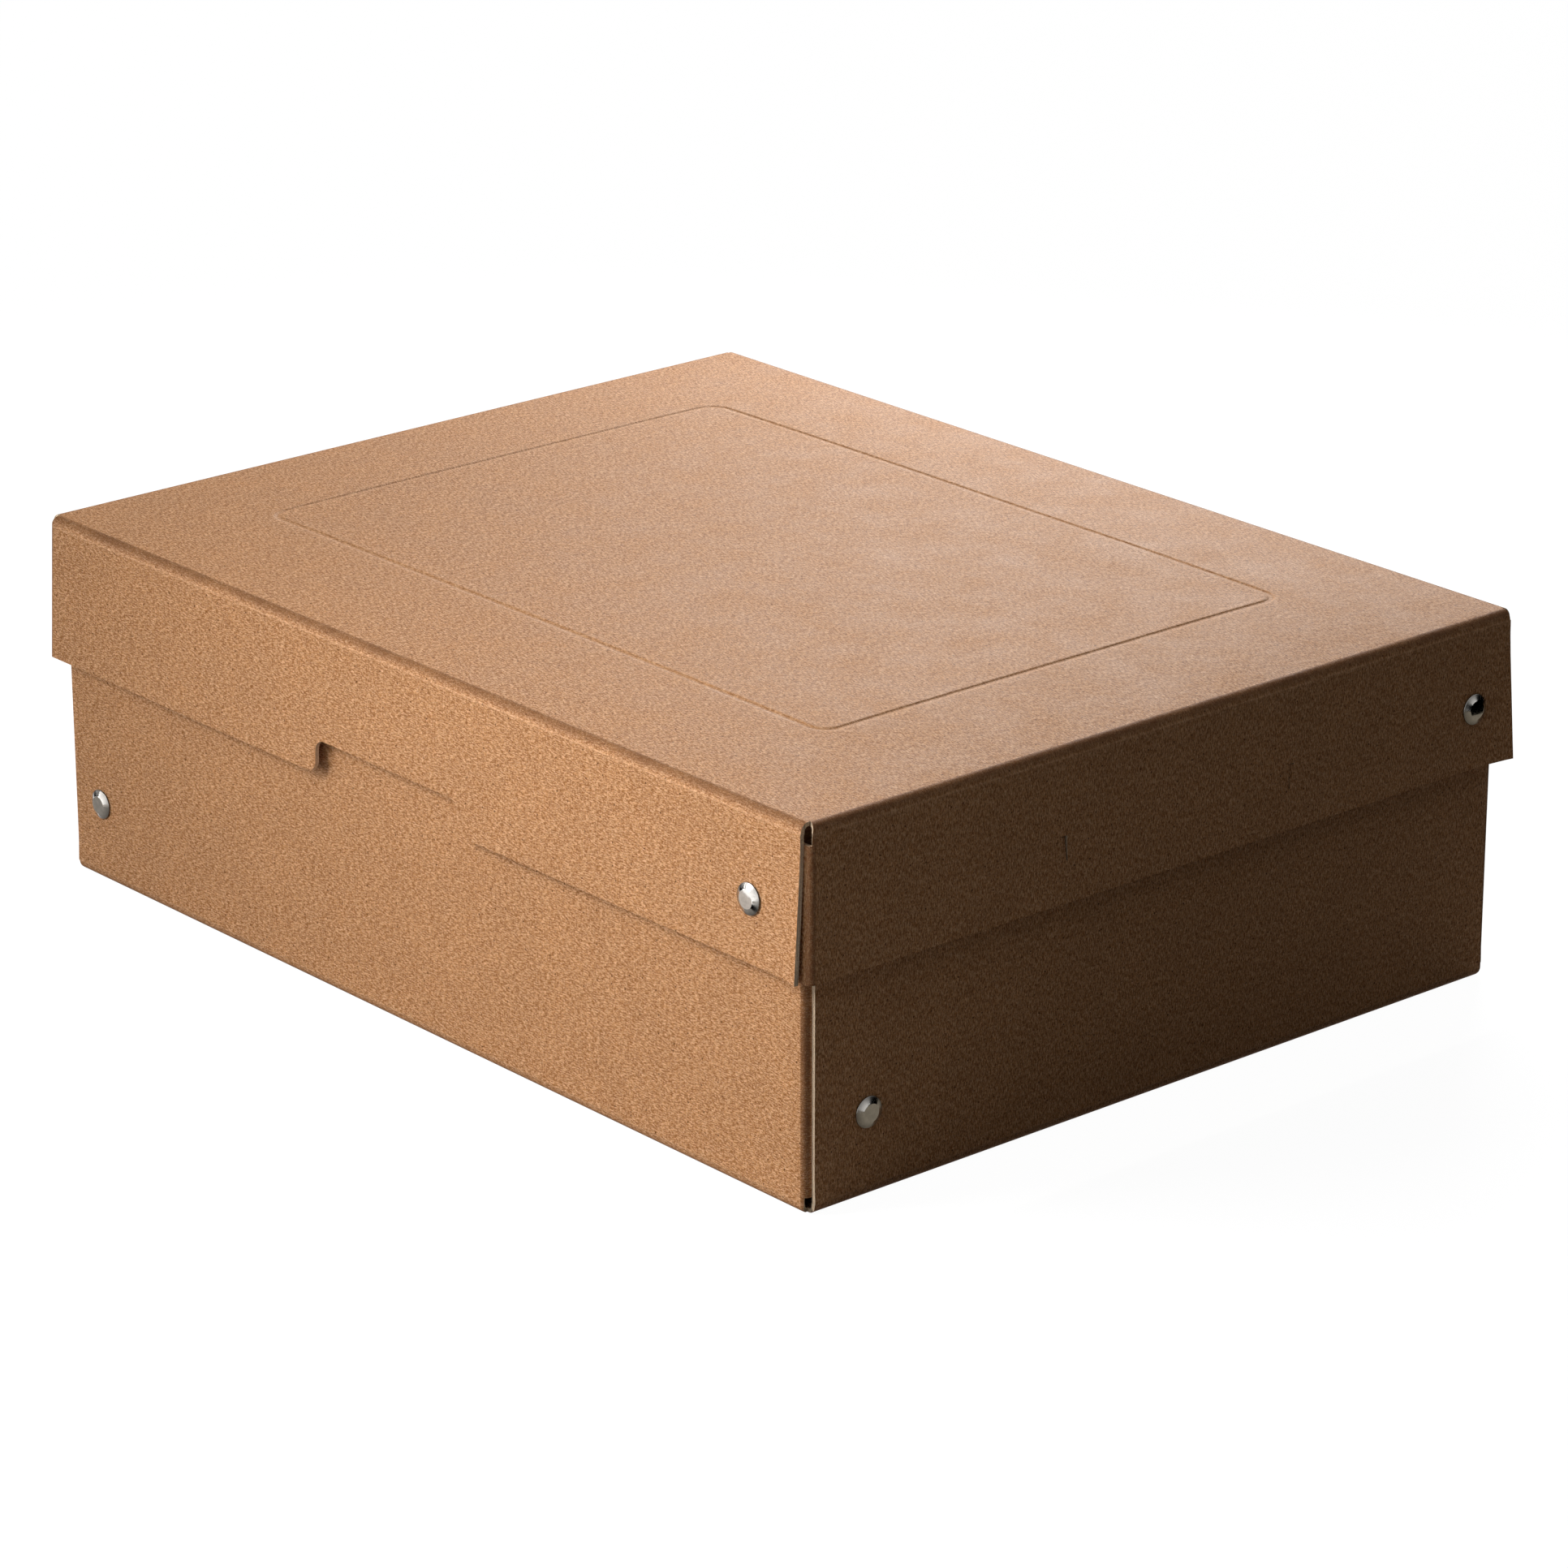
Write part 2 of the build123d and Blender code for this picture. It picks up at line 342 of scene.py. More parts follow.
class FoldedBlank:
    """One tray's flat blank and its folds, for a tray that stands on its floor.

    Wall 0 faces -Y, and walls 1 to 3 follow it anticlockwise, seen from above. A point of a wall is
    given as its place along the wall, from the wall's middle, and its flat distance from the floor.
    """

    def __init__(self, size, tray, board):
        self.halves = size[0] / 2, size[1] / 2
        self.height = size[2]
        self.tray = tray
        self.board = board
        self.lean = tray.splay
        self.insets = tray.inset_long, tray.inset_short
        self.fold = board.fold_radius + board.thickness
        self.bend = board.bend_radius + board.thickness
        self.fold_angle = pi / 2 - self.lean
        self.fold_end = self.fold * self.fold_angle
        self.bend_end = self.bend * pi / 2
        self.tab_reach = max(self.insets) + board.tab_past_rivet

    def run(self, wall):
        """Half the tray's size along a wall."""
        return self.halves[wall % 2]

    def depth(self, wall):
        """Half the tray's size across a wall."""
        return self.halves[(wall + 1) % 2]

    def floor_half(self, half):
        """Half the flat floor, between the folds."""
        return half - self.fold * (1 - sin(self.lean)) / cos(self.lean)

    def axes(self, wall):
        """The directions along a wall, left to right, and out of it."""
        turn = Matrix.Rotation(wall * pi / 2, 3, "Z")
        return turn @ Vector((1, 0, 0)), turn @ Vector((0, -1, 0))

    def flat(self, wall, along, away):
        """A wall's point in the flat blank."""
        axis, outwards = self.axes(wall)
        return axis * along + outwards * (self.floor_half(self.depth(wall)) + away)

    def away(self, height):
        """Flat distance from the floor at which a wall reaches a height above its fold."""
        return self.fold_end + (height - self.fold * (1 - sin(self.lean))) / cos(self.lean)

    def height_at(self, away):
        """Height of a wall's point at a flat distance from the floor."""
        angle = min(away / self.fold, self.fold_angle)
        return self.fold * (1 - cos(angle)) + max(away - self.fold_end, 0) * cos(self.lean)

    def spread(self, height):
        """How much further out the leaning walls are at a height."""
        return height * sin(self.lean) / cos(self.lean)

    def bend_start(self, wall, height):
        """Where a wall's right end starts to bend round the corner."""
        return self.run(wall) - self.board.thickness / cos(self.lean) - self.bend + self.spread(height)

    def raw_end(self, wall, height):
        """Where a wall's left end is cut off."""
        gap = self.board.edge_gap + self.tray.rim_gap * height / self.height
        return self.bend + gap - self.run(wall) - self.spread(height)

    def tab_end(self, wall, height):
        """Where a wall's tab ends, in the flat blank."""
        return self.bend_start(wall, height) + self.bend_end + self.tab_reach - self.bend

    def freed(self, past_raw_end, height):
        """How free a point is to spring out: fully at the rim's raw end, not at all at the rivet."""
        held = min(self.insets) - self.bend - self.board.edge_gap - RIVET_REACH
        along = min(max(1 - past_raw_end / held, 0), 1)
        return along**1.5 * min(max((height - self.tray.relief) / (self.height - self.tray.relief), 0), 1)

    def rivet_along(self, wall):
        """Place of the rivet along a wall, beside the wall's left end."""
        return self.insets[wall % 2] - self.run(wall) - self.spread(self.tray.rivet_height)

    def tab_rivet_along(self, wall):
        """Place of the next wall's rivet on this wall's tab, in the flat blank."""
        height = self.tray.rivet_height
        past = self.bend_end - self.bend + self.insets[(wall + 1) % 2] + 2 * self.spread(height)
        return self.bend_start(wall, height) + past

    def outline(self, wall, notch):
        """A wall and its tab in the flat blank, clockwise from the floor's left corner."""
        chamfer = self.board.tab_chamfer
        rim = self.away(self.height)
        relief = self.tray.relief
        low, high = relief + chamfer, self.height - chamfer
        inside = self.board.slot_inside_bend
        points = [
            (-self.floor_half(self.run(wall)), 0),
            (self.bend_start(wall, 0), 0),
            (self.bend_start(wall, 0) + inside, self.fold_end),
            (self.bend_start(wall, relief) + inside, self.away(relief)),
            (self.tab_end(wall, relief) - chamfer, self.away(relief)),
            (self.tab_end(wall, low), self.away(low)),
            (self.tab_end(wall, high), self.away(high)),
            (self.tab_end(wall, self.height) - chamfer, rim),
        ]
        if notch:
            left = notch.notch_offset - notch.notch_width / 2
            right = notch.notch_offset + notch.notch_width / 2
            ledge = self.away(self.height - notch.notch_depth)
            points += [(right, rim), (right, ledge), (left, ledge), (left, rim)]
        points += [(self.raw_end(wall, self.height), rim), (self.raw_end(wall, 0), self.fold_end)]
        return points

    def placed(self, wall, along, away):
        """Where a wall's flat point goes when folded, and the direction out of the board there."""
        axis, outwards = self.axes(wall)
        angle = min(away / self.fold, self.fold_angle)
        straight = max(away - self.fold_end, 0)
        out = self.floor_half(self.depth(wall)) + self.fold * sin(angle) + straight * sin(self.lean)
        height = self.height_at(away)
        start = self.bend_start(wall, height)
        past = max(along - start, 0)
        turn = min(past / self.bend, pi / 2)
        if past > 0:
            along = start + self.bend * sin(turn)
            out -= self.bend * (1 - cos(turn)) + max(past - self.bend_end, 0)
        place = axis * along + outwards * out + Vector((0, 0, height))
        out_of_board = (outwards * cos(turn) + axis * sin(turn)) * sin(angle) - Vector((0, 0, cos(angle)))
        return place, out_of_board


def cut(sheet, place, across, faces=None):
    """Cuts the flat sheet, or some of its faces, along a straight line through place."""
    faces = sheet.faces[:] if faces is None else faces
    geometry = set(faces)
    for face in faces:
        geometry.update(face.edges)
        geometry.update(face.verts)
    bmesh.ops.bisect_plane(sheet, geom=list(geometry), dist=SAME_PLACE, plane_co=place, plane_no=across)


def walls_of(sheet, wall):
    """The faces of one wall and its tab, or the floor's for wall -1."""
    layer = sheet.faces.layers.int["wall"]
    return [face for face in sheet.faces if face[layer] == wall + 1]


def near(faces, centre, reach):
    """Those of the faces whose middles lie in a square round a point."""
    def inside(face):
        offset = face.calc_center_median() - centre
        return abs(offset.x) < reach and abs(offset.y) < reach

    return [face for face in faces if inside(face)]


def touching(faces, centre, reach):
    """Those of the faces that reach into a square round a point."""
    def meets(face):
        lows = [min(v.co[i] for v in face.verts) - centre[i] for i in (0, 1)]
        highs = [max(v.co[i] for v in face.verts) - centre[i] for i in (0, 1)]
        return max(lows) < reach and min(highs) > -reach

    return [face for face in faces if meets(face)]


def flat_sheet(blank, notches):
    """The blank as a flat sheet: the floor, four walls and their tabs, with the notches rounded."""
    sheet = bmesh.new()
    layer = sheet.faces.layers.int.new("wall")
    outlines = [blank.outline(wall, notches.get(wall)) for wall in range(4)]
    rings = [[sheet.verts.new(blank.flat(wall, *point)) for point in outlines[wall]] for wall in range(4)]
    sheet.faces.new([ring[i] for ring in rings for i in (0, 1)])
    for wall, ring in enumerate(rings):
        sheet.faces.new(reversed(ring))[layer] = wall + 1
    for wall, lid in notches.items():
        corners = rings[wall][NOTCH_CORNERS]
        bmesh.ops.bevel(
            sheet, geom=corners, offset=lid.notch_radius, offset_type="OFFSET", segments=NOTCH_STEPS,
            profile=0.5, affect="VERTICES", material=-1,
        )
    return sheet


def cut_grid(sheet, blank):
    """Cuts the sheet into a grid, with more lines where it folds and bends."""
    rim = blank.away(blank.height)
    for axis in (0, 1):
        reach = blank.floor_half(blank.halves[axis]) + rim
        steps = int(reach / GRID)
        for step in range(-steps, steps + 1):
            line = Vector((0, 0, 0))
            line[axis] = step * GRID
            cut(sheet, line, Vector((1 - axis, axis, 0)))
    for wall in range(4):
        axis, outwards = blank.axes(wall)
        for step in range(1, FOLD_STEPS + 1):
            away = blank.fold_end * step / FOLD_STEPS
            cut(sheet, blank.flat(wall, 0, away), outwards, walls_of(sheet, wall))
        for past in SHOULDER_LINES:
            cut(sheet, blank.flat(wall, 0, blank.fold_end + past), outwards, walls_of(sheet, wall))
        across = axis - outwards * sin(blank.lean) * cos(blank.lean)
        low = blank.height_at(blank.fold_end)
        for step in range(BEND_STEPS + 1):
            along = blank.bend_start(wall, low) + blank.bend_end * step / BEND_STEPS
            cut(sheet, blank.flat(wall, along, blank.fold_end), across, walls_of(sheet, wall))


def cut_round_hole(sheet, wall, centre, radius):
    """Cuts a round hole into a wall or its tab."""
    for direction in (Vector((1, 0, 0)), Vector((0, 1, 0))):
        for side in (-radius, radius):
            cut(sheet, centre + direction * side, direction, touching(walls_of(sheet, wall), centre, radius))
    disc = near(walls_of(sheet, wall), centre, radius)
    bmesh.ops.dissolve_faces(sheet, faces=disc)
    for step in range(HOLE_STEPS):
        turn = Matrix.Rotation(2 * pi * step / HOLE_STEPS, 3, "Z") @ Vector((1, 0, 0))
        if step % 4:
            cut(sheet, centre + turn * radius, turn, near(walls_of(sheet, wall), centre, radius / 2))
    bmesh.ops.delete(sheet, geom=near(walls_of(sheet, wall), centre, radius / 2), context="FACES")


def cut_rivet_holes(sheet, blank):
    """Cuts the holes for the four rivets, in the walls and in the tabs behind them."""
    away = blank.away(blank.tray.rivet_height)
    for wall in range(4):
        for along in (blank.rivet_along(wall), blank.tab_rivet_along(wall)):
            cut_round_hole(sheet, wall, blank.flat(wall, along, away), HOLE_RADIUS)


def slit_ends(blank, lid):
    """Where a label slit's leg starts and ends, as flat distances from the lid's top."""
    return blank.away(lid.slit_from_top), blank.away(lid.slit_from_top + lid.slit_length)


def cut_slit(sheet, blank, wall, lid, side):
    """Cuts one label slit, a leg with a short arm at its top that points away from the other slit."""
    half = lid.slit_width / 2
    leg = side * lid.slit_spacing / 2
    top, bottom = slit_ends(blank, lid)
    arm_end = leg + side * (lid.slit_arm - half)
    axis, outwards = blank.axes(wall)
    middle = blank.flat(wall, leg, (top + bottom) / 2)
    reach = lid.slit_length
    for along in (leg - half, leg + half, arm_end):
        cut(sheet, blank.flat(wall, along, 0), axis, touching(walls_of(sheet, wall), middle, reach))
    for away in (top, top + lid.slit_width, bottom):
        cut(sheet, blank.flat(wall, 0, away), outwards, touching(walls_of(sheet, wall), middle, reach))

    def in_slit(face):
        centre = face.calc_center_median()
        along, away = centre.dot(axis), centre.dot(outwards) - blank.floor_half(blank.depth(wall))
        in_leg = abs(along - leg) < half and top < away < bottom
        past_leg = side * (along - leg)
        in_arm = 0 < past_leg < lid.slit_arm - half and top < away < top + lid.slit_width
        return in_leg or in_arm

    bmesh.ops.delete(sheet, geom=[face for face in walls_of(sheet, wall) if in_slit(face)], context="FACES")


def cut_crease_lines(sheet, lid):
    """Cuts fine lines along the creased rectangle and across its rounded corners."""
    groove = lid.crease_groove / 2
    shares = [-share for share in reversed(CREASE_LINES)] + [0, *CREASE_LINES]
    fine = [groove * share for share in shares]
    steps = range(1, int(lid.crease_radius / CREASE_STEP))
    corner = [fine[0] - CREASE_STEP * step for step in steps]
    for axis, size in enumerate((lid.crease_length, lid.crease_width)):
        direction = Vector((1 - axis, axis, 0))
        for offset in fine + corner:
            for side in (-1, 1):
                cut(sheet, direction * side * (size / 2 + offset), direction, walls_of(sheet, -1))


def off_rectangle(place, length, width, radius):
    """Distance outwards from the line of a rounded rectangle."""
    over_x = abs(place.x) - length / 2 + radius
    over_y = abs(place.y) - width / 2 + radius
    return Vector((max(over_x, 0), max(over_y, 0))).length + min(max(over_x, over_y), 0) - radius


def crease_relief(place, lid):
    """How proud the top is at the pressed line: a groove with level bottom between two swellings."""
    off = abs(off_rectangle(place, lid.crease_length, lid.crease_width, lid.crease_radius))
    half = lid.crease_groove / 2
    groove = 1 - smooth((off - 0.6 * half) / (0.6 * half))
    lip = exp(-((off - 2 * half) / half) ** 2)
    return lid.crease_lip * lip - lid.crease_depth * groove


def crown(place, blank, height):
    """Rise of the lid's top, which is nearly level in the middle and falls off at the folds."""
    shares = [abs(place[axis]) / blank.floor_half(blank.halves[axis]) for axis in (0, 1)]
    return height * (1 - min(shares[0], 1) ** 5) * (1 - min(shares[1], 1) ** 5)


def waves(place, height):
    """Slow waves of the board, the same each time."""
    return height * noise.noise(place / WAVE)


def slit_press(blank, lid, along, away):
    """How far the flap beside a label slit is pushed in: most at the leg, none at its hinge."""
    top, bottom = slit_ends(blank, lid)
    past_leg = abs(along) - lid.slit_spacing / 2 + lid.slit_width / 4
    if not (0 < past_leg < lid.slit_arm and top + lid.slit_width / 2 < away < bottom):
        return 0
    fade = smooth((bottom - away) / (0.6 * lid.slit_length))
    return lid.slit_press * (1 - past_leg / lid.slit_arm) * fade


def shape_floor(vert, blank, lid, rubbed):
    """Raises a point of the floor: slow waves and, on the lid, the crown and the crease."""
    flat = vert.co.copy()
    proud = waves(flat, blank.board.ripple)
    if lid:
        proud += crown(flat, blank, lid.crown) + crease_relief(flat, lid)
        off = off_rectangle(flat, lid.crease_length, lid.crease_width, lid.crease_radius)
        # Paler liner along the pressed line
        vert[rubbed] = 0.5 * exp(-(off / lid.crease_groove) ** 2)
    edge = min(blank.floor_half(blank.halves[axis]) - abs(flat[axis]) for axis in (0, 1))
    vert.co = flat - Vector((0, 0, 1)) * proud * smooth(edge / FLOOR_FADE)


def shape_wall(vert, wall, blank, lid, rubbed, pressed):
    """Folds a point of a wall or tab up, with the wall's bow, shoulder and sprung corner."""
    board = blank.board
    flat = vert.co.copy()
    axis, outwards = blank.axes(wall)
    along = flat.dot(axis)
    away = flat.dot(outwards) - blank.floor_half(blank.depth(wall))
    place, out_of_board = blank.placed(wall, along, away)
    past_fold = away - blank.fold_end
    height = blank.height_at(away)
    before_bend = blank.bend_start(wall, height) - along
    past_raw_end = along - blank.raw_end(wall, height)
    share = min(abs(along) / blank.run(wall), 1)
    swell = blank.tray.bow * (1 - share**2) ** 2 + waves(flat, board.ripple)
    swell *= smooth(past_fold / SWELL_RISE) * smooth(before_bend / CALM) * smooth(past_raw_end / CALM)
    rise = smooth(past_fold / board.shoulder_rise) * smooth(before_bend / CALM)
    proud = swell + board.shoulder * rise * (1 - smooth(past_fold / board.shoulder_reach))
    proud += blank.tray.spring * blank.freed(past_raw_end, height)
    if lid and wall == SLIT_WALL:
        proud -= slit_press(blank, lid, along, away)
    vert.co = place + out_of_board * proud
    # A paler line just past each fold: worn liner and a painted highlight of the shoulder's rise
    vert[rubbed] = exp(-((past_fold / board.shoulder_rise - 0.8) / 0.6) ** 2)
    # Darker along each fold and round each corner bend: pressed liner and painted shade
    share_folded = away / blank.fold_end
    at_fold = smooth(FOLD_STEPS * share_folded) * (1 - smooth((share_folded - 0.5) / 0.5))
    bend_step = blank.bend_end / BEND_STEPS
    at_bend = smooth(-before_bend / bend_step) * smooth((before_bend + blank.bend_end) / bend_step)
    vert[pressed] = max(at_fold, at_bend)


def fold_up(sheet, blank, lid=None):
    """Folds the sheet, keeps its flat place as a UV map, and marks paler liner, worn and with a painted highlight, and
    darker liner, pressed and with painted shade.
    """
    layer = sheet.faces.layers.int["wall"]
    flat_map = sheet.loops.layers.uv.new(BLANK_MAP)
    rubbed = sheet.verts.layers.float.new(WEAR_AND_HIGHLIGHT)
    pressed = sheet.verts.layers.float.new(PRESSED_AND_SHADED)
    for face in sheet.faces:
        for loop in face.loops:
            loop[flat_map].uv = loop.vert.co.xy
    for vert in sheet.verts:
        wall = max(face[layer] for face in vert.link_faces) - 1
        if wall < 0:
            shape_floor(vert, blank, lid, rubbed)
        else:
            shape_wall(vert, wall, blank, lid, rubbed, pressed)
    bmesh.ops.reverse_faces(sheet, faces=sheet.faces)


def link_object(name, data):
    """Adds an object to the scene."""
    made = bpy.data.objects.new(name, data)
    bpy.context.scene.collection.objects.link(made)
    return made


def make_object(shape, name, *materials):
    """Turns a bmesh into an object of the scene."""
    mesh = bpy.data.meshes.new(name)
    shape.to_mesh(mesh)
    shape.free()
    for material in materials:
        mesh.materials.append(material)
    return link_object(name, mesh)


def finish_tray(sheet, body, board):
    """Gives the folded sheet the board's thickness and softened cut edges, and hands it over."""
    piece = make_object(sheet, body + "_folded_board", *board_materials(board))
    piece.data.shade_smooth()
    thickness = piece.modifiers.new("Board thickness", "SOLIDIFY")
    thickness.thickness = board.thickness
    thickness.offset = -1
    thickness.material_offset_rim = CORE_SLOT
    soften(piece, board.cut_edge, 2, radians(50), CORE_SLOT)
    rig.ride(piece, body)
    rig.replaces(piece, body + "_tray")
    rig.slot(piece, "kraft_board")


def soften(piece, width, segments, angle, material=-1):
    """Rounds the sharp edges of a piece, with a material of their own if one is given."""
    rounding = piece.modifiers.new("Softened edges", "BEVEL")
    rounding.width = width
    rounding.segments = segments
    rounding.limit_method = "ANGLE"
    rounding.angle_limit = angle
    rounding.harden_normals = True
    rounding.material = material


# Materials

# Features for each millimetre
CLOUD_SCALE = 0.055
BLOTCH_SCALE = 0.32
GRAIN_SCALE = 2.8
TUFT_SCALE = 3.0
DOT_SCALE = 0.95
FLECK_SCALE = 0.16

# A fibre's size in millimetres, and the turn and shift of each layer of fibres
FIBRE_LENGTH = 1.5
FIBRE_WIDTH = 0.30
FIBRE_TURNS = ((0.4, 3), (1.5, 11), (2.5, 29))

# The blotches' height beside the grain's, and the painted shade at a rim's foot
BLOTCH_HEIGHT = 18.0
RIM_SHADE_COLOUR = (0.035, 0.03, 0.026, 1)


class Nodes:
    """Adds nodes to a tree, with their sockets set or linked by name."""

    def __init__(self, tree):
        self.tree = tree

    def put(self, made, socket, value):
        """Links a socket, or sets its value."""
        if isinstance(value, bpy.types.NodeSocket):
            self.tree.links.new(value, made.inputs[socket])
        else:
            made.inputs[socket].default_value = value

    def add(self, kind, inputs=None, **settings):
        """A node with its settings and its inputs."""
        made = self.tree.nodes.new(kind)
        for name, value in settings.items():
            setattr(made, name, value)
        for name, value in (inputs or {}).items():
            self.put(made, name, value)
        return made

    def math(self, operation, *values):
        """The result of a sum."""
        return self.add("ShaderNodeMath", dict(enumerate(values)), operation=operation).outputs[0]

    def times(self, first, second):
        """Two numbers multiplied."""
        return self.math("MULTIPLY", first, second)

    def plus(self, first, second):
        """Two numbers added."""
        return self.math("ADD", first, second)

    def between(self, value, low, high, to_low=0.0, to_high=1.0):
        """A value stretched from one range to another and held inside it."""
        inputs = {"Value": value, "From Min": low, "From Max": high, "To Min": to_low, "To Max": to_high}
        return self.add("ShaderNodeMapRange", inputs, interpolation_type="SMOOTHSTEP").outputs[0]

    def mix(self, share, first, second, blend="MIX"):
        """Two colours mixed. The sockets' numbers are those of the node's colour inputs."""
        made = self.add("ShaderNodeMix", data_type="RGBA", blend_type=blend)
        for socket, value in ((0, share), (6, first), (7, second)):
            self.put(made, socket, value)
        return made.outputs[2]

    def shaded(self, paint, share):
        """A colour made darker or paler by a share."""
        made = self.add("ShaderNodeVectorMath", {0: paint, "Scale": share}, operation="SCALE")
        return made.outputs[0]

    def placed(self, place, **inputs):
        """A place turned, moved or scaled."""
        return self.add("ShaderNodeMapping", {"Vector": place, **inputs}).outputs[0]

    def noise(self, place, scale, detail, roughness=0.5, dimensions="2D"):
        """Cloudy noise from nought to one."""
        inputs = {"Vector": place, "Scale": scale, "Detail": detail, "Roughness": roughness}
        return self.add("ShaderNodeTexNoise", inputs, noise_dimensions=dimensions).outputs["Fac"]

    def cells(self, place, scale):
        """Flat cells: the distance from the middle of each, and a number drawn for each."""
        made = self.add("ShaderNodeTexVoronoi", {"Vector": place, "Scale": scale}, voronoi_dimensions="2D")
        drawn = self.add("ShaderNodeSeparateColor", {"Color": made.outputs["Color"]}).outputs[0]
        return made.outputs["Distance"], drawn

    def mark(self, attribute):
        """A mark that was written onto the mesh."""
        return self.add("ShaderNodeAttribute", attribute_name=attribute).outputs["Fac"]

    def group(self, name, make, inputs):
        """The outputs of a shared node group, made the first time it is asked for."""
        tree = bpy.data.node_groups.get(name) or make(name)
        return self.add("ShaderNodeGroup", inputs, node_tree=tree).outputs

    def surface(self, height, strength, depth, inputs):
        """Joins a bumpy Principled shader to the output."""
        bump = self.add("ShaderNodeBump", {"Height": height, "Strength": strength, "Distance": depth})
        shader = self.add("ShaderNodeBsdfPrincipled", {**inputs, "Normal": bump.outputs[0]})
        self.add("ShaderNodeOutputMaterial", {"Surface": shader.outputs[0]})


def emptied(block):
    """The node tree of a material or world, emptied."""
    block.use_nodes = True
    block.node_tree.nodes.clear()
    return Nodes(block.node_tree)


def new_material(name):
    """A material and its empty node tree."""
    material = bpy.data.materials.new(name)
    return material, emptied(material)


def rgba(colour_value, share=1.0):
    """A colour with full alpha, made darker or paler by a share."""
    return (*(channel * share for channel in colour_value), 1.0)


def group_tree(name, inputs, outputs):
    """A node group with the named inputs and outputs, what comes in, and its end node."""
    tree = bpy.data.node_groups.new(name, "ShaderNodeTree")
    for way, sockets in (("INPUT", inputs), ("OUTPUT", outputs)):
        for socket, kind in sockets.items():
            tree.interface.new_socket(socket, in_out=way, socket_type="NodeSocket" + kind)
    return Nodes(tree), tree.nodes.new("NodeGroupInput").outputs, tree.nodes.new("NodeGroupOutput")


def fibre_layer(nodes, place, turn, shift):
    """Noise drawn out along one direction, like fibres that lie side by side."""
    scale = 1 / FIBRE_LENGTH, 1 / FIBRE_WIDTH, 1
    drawn_out = nodes.placed(place, Rotation=(0, 0, turn), Scale=scale, Location=(shift, shift, 0))
    return nodes.noise(drawn_out, 1.0, 2.0, 0.55)


def fibre_group(name):
    """Paper fibres: cloudy pulp, fine grain, pale and dark hairs and a few specks, in millimetres."""
    nodes, given, end = group_tree(
        name,
        {"Place": "Vector", "Face": "Color", "Pale": "Color", "Dark": "Color", "Speck": "Float"},
        {"Color": "Color", "Height": "Float", "Mask": "Float"},
    )
    place = given["Place"]
    cloud = nodes.noise(place, CLOUD_SCALE, 3.0, 0.6)
    blotch = nodes.noise(place, BLOTCH_SCALE, 3.0, 0.6)
    grain = nodes.noise(place, GRAIN_SCALE, 2.0, 0.7)
    tuft = nodes.cells(place, TUFT_SCALE)[1]
    layers = [fibre_layer(nodes, place, turn, shift) for turn, shift in FIBRE_TURNS]
    high = nodes.math("MAXIMUM", nodes.math("MAXIMUM", layers[0], layers[1]), layers[2])
    low = nodes.math("MINIMUM", nodes.math("MINIMUM", layers[0], layers[1]), layers[2])
    pale_hair = nodes.between(high, 0.56, 0.72)
    dark_hair = nodes.between(low, 0.44, 0.28)
    mottle = nodes.times(nodes.plus(grain, tuft), 0.5)
    distance, drawn = nodes.cells(place, DOT_SCALE)
    dot = nodes.between(distance, 0.36, 0.20)
    pale_dot = nodes.times(dot, nodes.between(drawn, 0.70, 0.82, 0.0, 0.65))
    dark_dot = nodes.times(dot, nodes.between(drawn, 0.34, 0.22, 0.0, 0.75))
    pale_grain = nodes.math("MAXIMUM", nodes.times(nodes.between(mottle, 0.5, 0.75), 0.5), pale_dot)
    dark_grain = nodes.math("MAXIMUM", nodes.times(nodes.between(mottle, 0.5, 0.25), 0.5), dark_dot)
    distance, drawn = nodes.cells(place, FLECK_SCALE)
    fleck = nodes.times(nodes.between(distance, 0.055, 0.025), nodes.math("GREATER_THAN", drawn, 0.62))
    fleck = nodes.times(fleck, given["Speck"])
    tone = nodes.times(nodes.math("SUBTRACT", cloud, 0.5), 0.34)
    tone = nodes.plus(tone, nodes.times(nodes.math("SUBTRACT", blotch, 0.5), 0.22))
    paint = nodes.shaded(given["Face"], nodes.plus(tone, 1.0))
    paint = nodes.mix(nodes.math("MAXIMUM", pale_hair, pale_grain), paint, given["Pale"])
    paint = nodes.mix(nodes.math("MAXIMUM", dark_hair, dark_grain), paint, given["Dark"])
    speck_colour = nodes.mix(1.0, given["Dark"], (0.45, 0.45, 0.45, 1), "MULTIPLY")
    height = nodes.math("SUBTRACT", nodes.plus(grain, nodes.times(pale_hair, 0.6)), dark_hair)
    nodes.put(end, "Color", nodes.mix(fleck, paint, speck_colour))
    nodes.put(end, "Height", nodes.plus(height, nodes.times(blotch, BLOTCH_HEIGHT)))
    nodes.put(end, "Mask", nodes.plus(grain, nodes.times(cloud, 0.5)))
    return nodes.tree


def wear_and_painted_light_group(name):
    """Darker colour where the board is pressed to fold it, with painted shade, and paler where it is rubbed, with a
    painted highlight.
    """
    nodes, given, end = group_tree(
        name,
        {"Color": "Color", "Grain": "Float", "Amount": "Float", "Worn": "Color", "Pressed": "Color"},
        {"Color": "Color"},
    )
    rubbed = nodes.times(nodes.mark(WEAR_AND_HIGHLIGHT), nodes.between(given["Grain"], 0.35, 0.75, 0.35, 1.0))
    pressed = nodes.times(nodes.mark(PRESSED_AND_SHADED), nodes.between(given["Grain"], 0.5, 1.0, 1.0, 0.35))
    paint = nodes.mix(pressed, given["Color"], given["Pressed"])
    nodes.put(end, "Color", nodes.mix(nodes.times(rubbed, given["Amount"]), paint, given["Worn"]))
    return nodes.tree


